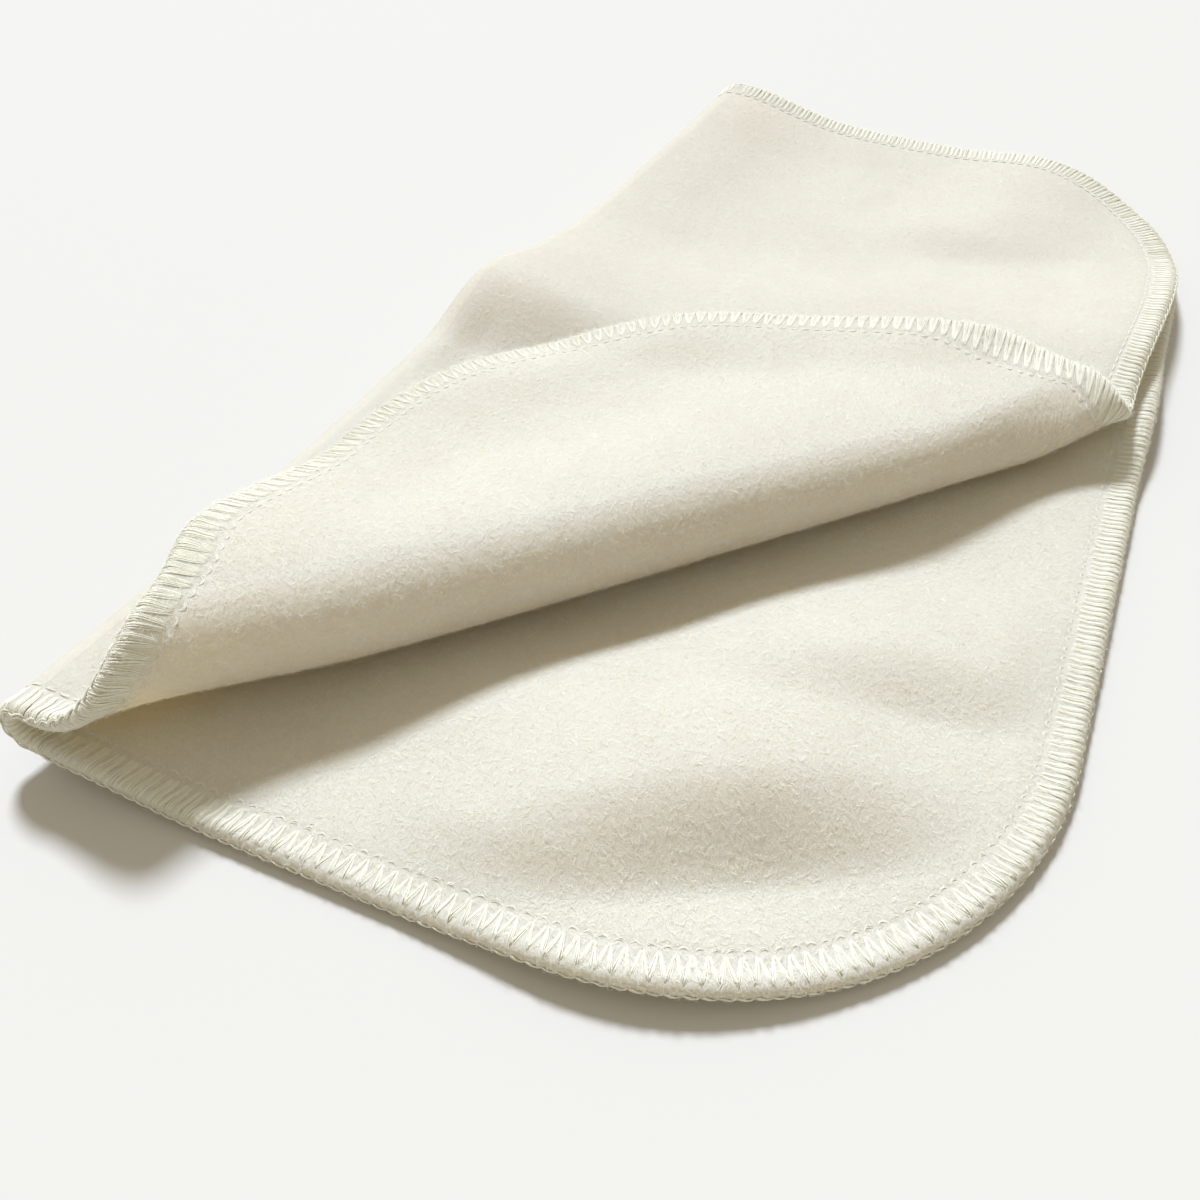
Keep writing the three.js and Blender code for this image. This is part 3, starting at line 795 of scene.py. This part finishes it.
def filament(run, distance, q, lift, half, s=threads["filament"]):
    distance, q, lift = np.broadcast_arrays(distance, q, lift)
    points, ups = run.points(distance, q, lift)
    t = np.linspace(0, 1, distance.shape[1])
    wide = half * lerp(s["thinEnds"], 1, np.sin(np.pi * t) ** s["shape"]) + 0 * distance
    return sweep(points, ups, wide, wide * s["flat"], s["sides"])


# small arches along the needle line inside, short straight stitches outside
def needleStitches(run, starts, pitch, s=threads["needle"]):
    t = np.linspace(0, 1, 8)
    parts = []
    rise = np.sin(np.pi * t) ** s["shape"]
    for k in (-0.5, 0.5):
        wobble = rng.normal(0, s["wobble"], (2, len(starts), 1))
        distance = starts[:, None] + pitch * (s["from"] + s["run"] * t) + wobble[0]
        arch = faceOf(s["at"] + (s["bow"] + wobble[1]) * np.sin(np.pi * t) + k * s["apart"])
        parts.append(filament(run, distance, arch, s["lift"] * rise - s["sunk"], s["half"]))
        distance = starts[:, None] + pitch * (s["backFrom"] + s["backRun"] * t) + wobble[1]
        straight = -faceOf(s["at"] + k * s["apart"]) + 0 * distance
        parts.append(filament(run, distance, straight, s["backLift"] * rise - s["backSunk"], s["half"]))
    return joined(parts)


# two bundles of filaments from each needle stitch to the edge
def looperStrands(run, starts, pitch, face, s=threads["looper"]):
    t = np.linspace(0, 1, 9)
    m = run.manner(starts) if face > 0 else manners["rib"]
    parts = []
    fan = lerp(m["fan"], s["fanEnd"], np.sin(np.pi * np.minimum(t, 0.6) / 1.2))
    sunk = s["apexSunk"] * (1 - smooth(0, 0.1, t)) + s["footSunk"] * smooth(0.85, 1.0, t)

    def slipped(size):
        return rng.normal(0, size, (len(starts), 1))

    for way in (-1, 1):
        slip = slipped(1) * m["loose"]
        spread = pitch * (way * lerp(m["open"], m["spread"], t ** 0.9) + m["lean"] * t ** 1.3)
        for k in range(s["bundle"]):
            aside = k - (s["bundle"] - 1) / 2
            foot = m["foot"] + slipped(s["footSlip"]) * (1 + 3 * m["loose"])
            stray = slipped(s["stray"]) + slipped(s["looseStray"]) * m["loose"]
            q = face * lerp(faceOf(s["apex"]) + slipped(s["apexSlip"]), foot, t)
            distance = starts[:, None] + spread + aside * m["apart"] * fan + (slip + stray) * t
            lift = s["rise"] - 2 * s["roundness"] * abs(aside) - sunk + slipped(s["liftSlip"])
            parts.append(filament(run, distance, q, lift, m["half"]))
    return joined(parts)


# loops that lock the two looper threads along the cut edge
def edgeChain(run, starts, pitch, s=threads["chain"]):
    t = np.linspace(0, 1, 8)
    parts = []
    for k in (-0.5, 0.5):
        wobble = rng.normal(0, s["wobble"], (len(starts), 1))
        distance = starts[:, None] + pitch * (s["from"] + s["run"] * t) + wobble
        q = s["at"] + k * s["apart"] + s["sway"] * np.sin(2 * np.pi * t) + wobble
        lift = s["lift"] * np.sin(np.pi * t) ** s["shape"] - s["sunk"] + 0 * distance
        parts.append(filament(run, distance, q, lift, s["half"]))
    return joined(parts)


def upperLooper(run, starts, pitch):
    return looperStrands(run, starts, pitch, 1)


def lowerLooper(run, starts, pitch):
    return joined([looperStrands(run, starts, pitch, -1), edgeChain(run, starts, pitch)])


def layerRun(side, place, innerSign, along):
    length = edgeRuns(side).sum()
    return HemRun(place, length, lambda d, e: edgePlace(side, d, e), innerSign, along)


bottomRun = layerRun(fold["width"], placeBottom, 1, [(0, "arc"), (22, "arc"), (48, "vee"), (140, "vee"), (195, "rib")])
topRun = layerRun(topSide, placeTop, -1, [(0, "rib"), (20, "slack"), (60, "slack"), (100, "vee"), (150, "vee"),
                                          (185, "over"), (270, "over"), (300, "rib")])


def addThreads():
    made = []
    frontRun = HemRun(placeCrease, np.pi * crease["radius"],
                      lambda d, e: (d / crease["radius"] + 0 * e, e + 0 * d), -1, [(0, "rib")])
    backRadius = float(creaseRadius(np.array(fold["length"])))
    backRun = HemRun(placeCrease, np.pi * backRadius,
                     lambda d, e: (d / backRadius + 0 * e, fold["length"] - e + 0 * d), -1, [(0, "rib")])

    def evenStitches(run):
        count = stitchesOn(run.length)
        pitch = run.length / count
        return np.arange(count) * pitch, pitch

    stretches = [(run, name, *evenStitches(run)) for run, name in (
        (bottomRun, "bottom"), (frontRun, "crease_front"), (backRun, "crease_back"))]
    starts, pitch = evenStitches(topRun)
    n, end = turnedBack(*edgePlace(topSide, starts + pitch / 2, hemMiddle))
    onRoll, onFlap = (n > 0) & (n < end), n >= end
    flapMiddle = starts[onFlap].mean()
    for name, chosen in (("top_front", (n <= 0) & (starts < flapMiddle)),
                         ("roll_front", onRoll & (starts < flapMiddle)), ("flap", onFlap),
                         ("roll_back", onRoll & (starts > flapMiddle)),
                         ("top_back", (n <= 0) & (starts > flapMiddle))):
        stretches.append((topRun, name, starts[chosen], pitch))
    for run, name, at, pitch in stretches:
        for kind, maker, material in (("needle_thread", needleStitches, "needle"),
                                      ("upper_looper", upperLooper, "looper"),
                                      ("lower_looper", lowerLooper, "looper")):
            points, faces = maker(run, at, pitch)
            words = (kind + "_" + name).split("_")
            piece = meshObject(words[0] + "".join(w.capitalize() for w in words[1:]), toModel(points), faces)
            dress(piece, material, kind + "_" + name)
            carry(piece, bodyOf[name.split("_")[0]])
            made.append((name, piece))
    return made


hemPieces = addThreads()
print("threads made", len(hemPieces), "pieces", sum(len(p.data.polygons) for _, p in hemPieces), "faces")

for key, body in bodyOf.items():
    carry(sheets[key], body)

# brushed up fibre ends on the faces that show and on the hem: thin curled ribbons, in millimetres
nap = {
    "perSquare": 4.0, "perSquareTop": 1.8, "perHem": 30,
    "long": (0.8, 1.9), "high": (0.1, 0.45), "half": (0.02, 0.04), "thinner": 0.6,
    "arch": (0.5, 0.95), "sunk": 0.05, "curl": 3.3, "twist": 0.3, "twistOn": 0.5, "stations": 5,
    "clearOfEdge": 6.0, "clearOfCrease": 1.0, "clearOfTurn": 1.0, "shownFrom": 1.5,
    "hemFrom": -1.6, "hemTo": 6.0, "hemHigher": 1.7,
}


class Fibres:
    # a bed of fibres, each a path in two directions along the cloth and a height over it
    def __init__(self, count, seed, s=nap):
        self.dice, self.count, self.s = np.random.default_rng(seed), count, s
        self.t = np.linspace(0, 1, s["stations"])
        length, heading = self.draw(s["long"]), self.draw((0, 2 * np.pi))
        middle = heading + self.dice.normal(0, s["curl"], (count, 1)) * (self.t[1:] + self.t[:-1]) / 2
        step = length / (s["stations"] - 1)
        start = np.zeros((count, 1))
        self.along = np.concatenate([start, np.cumsum(step * np.cos(middle), 1)], 1)
        self.aside = np.concatenate([start, np.cumsum(step * np.sin(middle), 1)], 1)
        self.height = self.draw(s["high"]) * np.sin(np.pi * self.t * self.draw(s["arch"])) - s["sunk"]

    def draw(self, span):
        return self.dice.uniform(*span, (self.count, 1))

    def ribbons(self, paths, ups):
        flat = np.cross(ups, unit(np.gradient(paths, axis=1)))
        twist = (self.dice.normal(0, self.s["twist"], (self.count, 1))
                 + self.dice.normal(0, self.s["twistOn"], (self.count, 1)) * self.t)[..., None]
        across = flat * np.cos(twist) + ups * np.sin(twist)
        across = across * (self.draw(self.s["half"]) * (1 - self.s["thinner"] * self.t))[..., None]
        return np.stack([paths - across, paths + across], 2)


def panelFibres(place, face, side, perSquare, chosen, seed):
    dice = np.random.default_rng(seed)
    count = int(side * fold["length"] * perSquare)
    u, v = dice.uniform(0, side, count), dice.uniform(0, fold["length"], count)
    keep = (insetOf(u, v, side) > nap["clearOfEdge"]) & (u > creaseMiddle(v) + nap["clearOfCrease"]) & chosen(u, v)
    u, v = u[keep][:, None], v[keep][:, None]
    bed = Fibres(len(u), seed + 1)
    ups = face * normalsOf(place, u, v)
    paths = place(u + bed.along, v + bed.aside) + ups * (fold["thick"] / 2 + bed.height)[..., None]
    return bed.ribbons(paths, ups + 0 * paths)


def hemFibres(run, side, chosen, seed):
    dice = np.random.default_rng(seed)
    count = int(run.length * nap["perHem"])
    distance, q = dice.uniform(0, run.length, count), dice.uniform(nap["hemFrom"], faceOf(nap["hemTo"]), count)
    keep = chosen(*edgePlace(side, distance, hemMiddle))
    distance, q = distance[keep][:, None], q[keep][:, None]
    bed = Fibres(len(distance), seed + 1)
    paths, ups = run.points(np.clip(distance + bed.along, 0, run.length), q + bed.aside,
                            bed.height * nap["hemHigher"])
    return bed.ribbons(paths, ups)


def napObject(name, beds):
    points = np.concatenate(beds)
    fibres, steps = points.shape[:2]
    index = np.arange(fibres * steps * 2).reshape(fibres, steps, 2)
    quads = np.stack([index[:, :-1, 0], index[:, :-1, 1], index[:, 1:, 1], index[:, 1:, 0]], -1)
    piece = meshObject(name, toModel(points.reshape(-1, 3)), quads.reshape(-1, 4).tolist())
    for material in napTones:
        piece.data.materials.append(material)
    piece.data.polygons.foreach_set("material_index", np.repeat(np.arange(fibres) % len(napTones), steps - 1))
    return piece


def addNap():
    def everywhere(x, y):
        return np.full(np.shape(x), True)

    def shown(x, y):
        return turnedBack(x, y)[0] > nap["shownFrom"]

    def onTop(x, y):
        return turnedBack(x, y)[0] < -nap["clearOfTurn"]

    def onRoll(x, y):
        n, end = turnedBack(x, y)
        return (n > nap["clearOfTurn"]) & (n < end)

    def onFlap(x, y):
        n, end = turnedBack(x, y)
        return n >= end

    made = {
        "bottom": napObject("napBottom", [
            panelFibres(placeBottom, 1, fold["width"], nap["perSquare"], shown, 31),
            hemFibres(bottomRun, fold["width"], everywhere, 41)]),
        "top": napObject("napTop", [
            panelFibres(placeTop, 1, topSide, nap["perSquareTop"], onTop, 33), hemFibres(topRun, topSide, onTop, 43)]),
        "roll": napObject("napRoll", [
            panelFibres(placeTop, -1, topSide, nap["perSquare"], onRoll, 35), hemFibres(topRun, topSide, onRoll, 45)]),
        "flap": napObject("napFlap", [
            panelFibres(placeTop, -1, topSide, nap["perSquare"], onFlap, 37), hemFibres(topRun, topSide, onFlap, 47)]),
    }
    for key, piece in made.items():
        carry(piece, bodyOf[key])
        hemPieces.append((key, piece))
    return made


napPieces = addNap()
print("nap made", {key: len(piece.data.polygons) for key, piece in napPieces.items()})


# floor and studio light
studio = {
    "floor": (0.5895, 0.5755, 0.538, 1), "floorRough": 0.8, "floorSpecular": 0.1,
    "floorReach": 3.0, "floorAt": -0.0002,   # a hair under the cloth, so that the two never coincide
    "sky": 0.56, "skyColour": (1.0, 0.92, 0.76, 1),
    "key": 3.95, "keyColour": (1.0, 1.08, 1.24), "keyAngle": 11.0, "keyHeight": 50.0, "keyTurn": 11.0,   # degrees
}


def addStudio(s=studio):
    reach = s["floorReach"]
    corners = [(-reach, -reach), (reach, -reach), (reach, reach), (-reach, reach)]
    floor = meshObject("floor", [(x, y, s["floorAt"]) for x, y in corners], [(0, 1, 2, 3)])
    material, wire = newMaterial("paleFloor")
    showShader(wire, wire.node("ShaderNodeBsdfPrincipled", None, {
        "Base Color": s["floor"], "Roughness": s["floorRough"], "Specular IOR Level": s["floorSpecular"]}))
    floor.data.materials.append(material)
    world = bpy.data.worlds.new("studio")
    world.use_nodes = True
    sky = world.node_tree.nodes["Background"].inputs
    sky["Color"].default_value, sky["Strength"].default_value = s["skyColour"], s["sky"]
    scene.world = world
    sun = bpy.data.lights.new("key", "SUN")
    sun.energy, sun.angle, sun.color = s["key"], math.radians(s["keyAngle"]), s["keyColour"]
    key = bpy.data.objects.new("key", sun)
    # keyTurn is measured from straight ahead of the camera round to its left
    heading, height = math.radians(cameraSettings["turn"] + s["keyTurn"]), math.radians(s["keyHeight"])
    toLight = Vector((-math.sin(heading) * math.cos(height), math.cos(heading) * math.cos(height), math.sin(height)))
    key.rotation_mode = "QUATERNION"
    key.rotation_quaternion = toLight.to_track_quat("Z", "Y")
    scene.collection.objects.link(key)
    scene.view_settings.view_transform = "Standard"


addStudio()
print("floor and light set")
